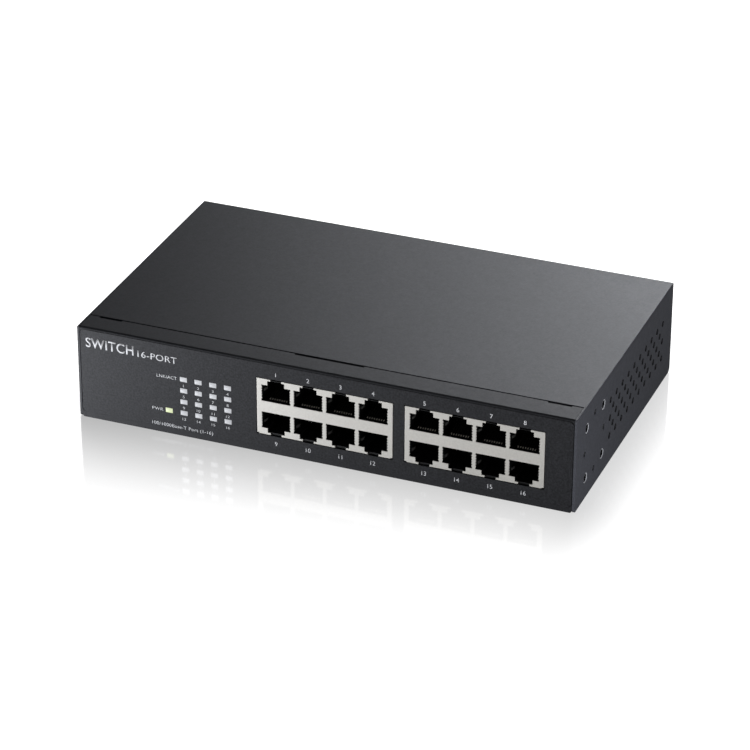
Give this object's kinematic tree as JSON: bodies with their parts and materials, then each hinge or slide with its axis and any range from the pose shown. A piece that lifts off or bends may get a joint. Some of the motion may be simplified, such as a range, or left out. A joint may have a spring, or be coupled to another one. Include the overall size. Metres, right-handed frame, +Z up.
{
  "type": "desktop network switch",
  "caption": "Desktop Ethernet switch in a folded steel case, with stacked jacks and indicator windows in front, vented sides and a mains inlet behind.",
  "frame": {"origin": "centre of the underside, on the surface that the switch stands on", "axes": "+X to the right as seen from the front, the front panel with the jacks faces -Y, +Z up"},
  "size_m": [0.215, 0.128, 0.042],
  "materials": {
    "powder_coat": "charcoal powder coat with a fine grain",
    "printed_film": "dark printed film with white lettering and clear windows",
    "tinned_steel": "pale tinned sheet, satin",
    "jack_plastic": "black moulded plastic",
    "gold_contact": "gold-plated spring wire",
    "clear_window": "milky clear light guide",
    "lit_window": "light guide lit yellow-green",
    "circuit_board": "green solder resist over laminate",
    "chip_plastic": "black moulding compound",
    "bare_aluminium": "bare extruded aluminium",
    "transformer_tape": "yellow insulating tape",
    "capacitor_sleeve": "dark shrink sleeve",
    "ferrite": "green-coated ferrite core",
    "wire_insulation": "red wire sleeve",
    "earth_insulation": "green and yellow wire sleeve",
    "plated_steel": "bright plated steel",
    "fuse_ceramic": "white ceramic tube"
  },
  "bodies": {
    "case": {"base_chassis": "powder_coat", "top_cover": "powder_coat", "front_overlay": "printed_film", "jack_shield_left": "tinned_steel", "jack_shield_right": "tinned_steel", "jack_housing_left": "jack_plastic", "jack_housing_right": "jack_plastic", "link_light_guide": "clear_window", "power_light_guide": "lit_window", "indicator_board": "circuit_board", "main_board": "circuit_board", "switch_chip": "chip_plastic", "switch_heat_sink": "bare_aluminium", "phy_chip": "chip_plastic", "phy_heat_sink": "bare_aluminium", "magnetics_1": "chip_plastic", "magnetics_2": "chip_plastic", "magnetics_3": "chip_plastic", "magnetics_4": "chip_plastic", "clock_crystal": "plated_steel", "power_board": "circuit_board", "mains_inlet": "jack_plastic", "inlet_pin_line": "plated_steel", "inlet_pin_neutral": "plated_steel", "inlet_pin_earth": "plated_steel", "mains_transformer": "transformer_tape", "bulk_capacitor": "capacitor_sleeve", "output_capacitor": "capacitor_sleeve", "common_mode_choke": "ferrite", "power_heat_sink": "bare_aluminium", "mains_fuse": "fuse_ceramic", "dc_cable": "wire_insulation", "earth_wire": "earth_insulation", "earth_screw": "plated_steel", "cover_screw_1": "plated_steel", "board_screw_1": "plated_steel", "cover_screw_2": "plated_steel", "board_screw_2": "plated_steel", "cover_screw_3": "plated_steel", "board_screw_3": "plated_steel", "cover_screw_4": "plated_steel", "board_screw_4": "plated_steel", "power_board_screw_1": "plated_steel", "power_board_screw_2": "plated_steel"},
    "port_01_spring": {"port_01_contacts": "gold_contact"},
    "port_02_spring": {"port_02_contacts": "gold_contact"},
    "port_03_spring": {"port_03_contacts": "gold_contact"},
    "port_04_spring": {"port_04_contacts": "gold_contact"},
    "port_05_spring": {"port_05_contacts": "gold_contact"},
    "port_06_spring": {"port_06_contacts": "gold_contact"},
    "port_07_spring": {"port_07_contacts": "gold_contact"},
    "port_08_spring": {"port_08_contacts": "gold_contact"},
    "port_09_spring": {"port_09_contacts": "gold_contact"},
    "port_10_spring": {"port_10_contacts": "gold_contact"},
    "port_11_spring": {"port_11_contacts": "gold_contact"},
    "port_12_spring": {"port_12_contacts": "gold_contact"},
    "port_13_spring": {"port_13_contacts": "gold_contact"},
    "port_14_spring": {"port_14_contacts": "gold_contact"},
    "port_15_spring": {"port_15_contacts": "gold_contact"},
    "port_16_spring": {"port_16_contacts": "gold_contact"}
  },
  "joints": [
    {"name": "port_01_press", "type": "hinge", "parent": "case", "child": "port_01_spring", "pos_m": [-0.0196, -0.0612, 0.0232], "axis": [-1, 0, 0], "range_deg": [0, 12], "stiffness_Nm_per_rad": 0.3},
    {"name": "port_02_press", "type": "hinge", "parent": "case", "child": "port_02_spring", "pos_m": [-0.0056, -0.0612, 0.0232], "axis": [-1, 0, 0], "range_deg": [0, 12], "stiffness_Nm_per_rad": 0.3},
    {"name": "port_03_press", "type": "hinge", "parent": "case", "child": "port_03_spring", "pos_m": [0.0084, -0.0612, 0.0232], "axis": [-1, 0, 0], "range_deg": [0, 12], "stiffness_Nm_per_rad": 0.3},
    {"name": "port_04_press", "type": "hinge", "parent": "case", "child": "port_04_spring", "pos_m": [0.0224, -0.0612, 0.0232], "axis": [-1, 0, 0], "range_deg": [0, 12], "stiffness_Nm_per_rad": 0.3},
    {"name": "port_05_press", "type": "hinge", "parent": "case", "child": "port_05_spring", "pos_m": [0.0442, -0.0612, 0.0232], "axis": [-1, 0, 0], "range_deg": [0, 12], "stiffness_Nm_per_rad": 0.3},
    {"name": "port_06_press", "type": "hinge", "parent": "case", "child": "port_06_spring", "pos_m": [0.0582, -0.0612, 0.0232], "axis": [-1, 0, 0], "range_deg": [0, 12], "stiffness_Nm_per_rad": 0.3},
    {"name": "port_07_press", "type": "hinge", "parent": "case", "child": "port_07_spring", "pos_m": [0.0722, -0.0612, 0.0232], "axis": [-1, 0, 0], "range_deg": [0, 12], "stiffness_Nm_per_rad": 0.3},
    {"name": "port_08_press", "type": "hinge", "parent": "case", "child": "port_08_spring", "pos_m": [0.0862, -0.0612, 0.0232], "axis": [-1, 0, 0], "range_deg": [0, 12], "stiffness_Nm_per_rad": 0.3},
    {"name": "port_09_press", "type": "hinge", "parent": "case", "child": "port_09_spring", "pos_m": [-0.0196, -0.0612, 0.0193], "axis": [1, 0, 0], "range_deg": [0, 12], "stiffness_Nm_per_rad": 0.3},
    {"name": "port_10_press", "type": "hinge", "parent": "case", "child": "port_10_spring", "pos_m": [-0.0056, -0.0612, 0.0193], "axis": [1, 0, 0], "range_deg": [0, 12], "stiffness_Nm_per_rad": 0.3},
    {"name": "port_11_press", "type": "hinge", "parent": "case", "child": "port_11_spring", "pos_m": [0.0084, -0.0612, 0.0193], "axis": [1, 0, 0], "range_deg": [0, 12], "stiffness_Nm_per_rad": 0.3},
    {"name": "port_12_press", "type": "hinge", "parent": "case", "child": "port_12_spring", "pos_m": [0.0224, -0.0612, 0.0193], "axis": [1, 0, 0], "range_deg": [0, 12], "stiffness_Nm_per_rad": 0.3},
    {"name": "port_13_press", "type": "hinge", "parent": "case", "child": "port_13_spring", "pos_m": [0.0442, -0.0612, 0.0193], "axis": [1, 0, 0], "range_deg": [0, 12], "stiffness_Nm_per_rad": 0.3},
    {"name": "port_14_press", "type": "hinge", "parent": "case", "child": "port_14_spring", "pos_m": [0.0582, -0.0612, 0.0193], "axis": [1, 0, 0], "range_deg": [0, 12], "stiffness_Nm_per_rad": 0.3},
    {"name": "port_15_press", "type": "hinge", "parent": "case", "child": "port_15_spring", "pos_m": [0.0722, -0.0612, 0.0193], "axis": [1, 0, 0], "range_deg": [0, 12], "stiffness_Nm_per_rad": 0.3},
    {"name": "port_16_press", "type": "hinge", "parent": "case", "child": "port_16_spring", "pos_m": [0.0862, -0.0612, 0.0193], "axis": [1, 0, 0], "range_deg": [0, 12], "stiffness_Nm_per_rad": 0.3}
  ]
}
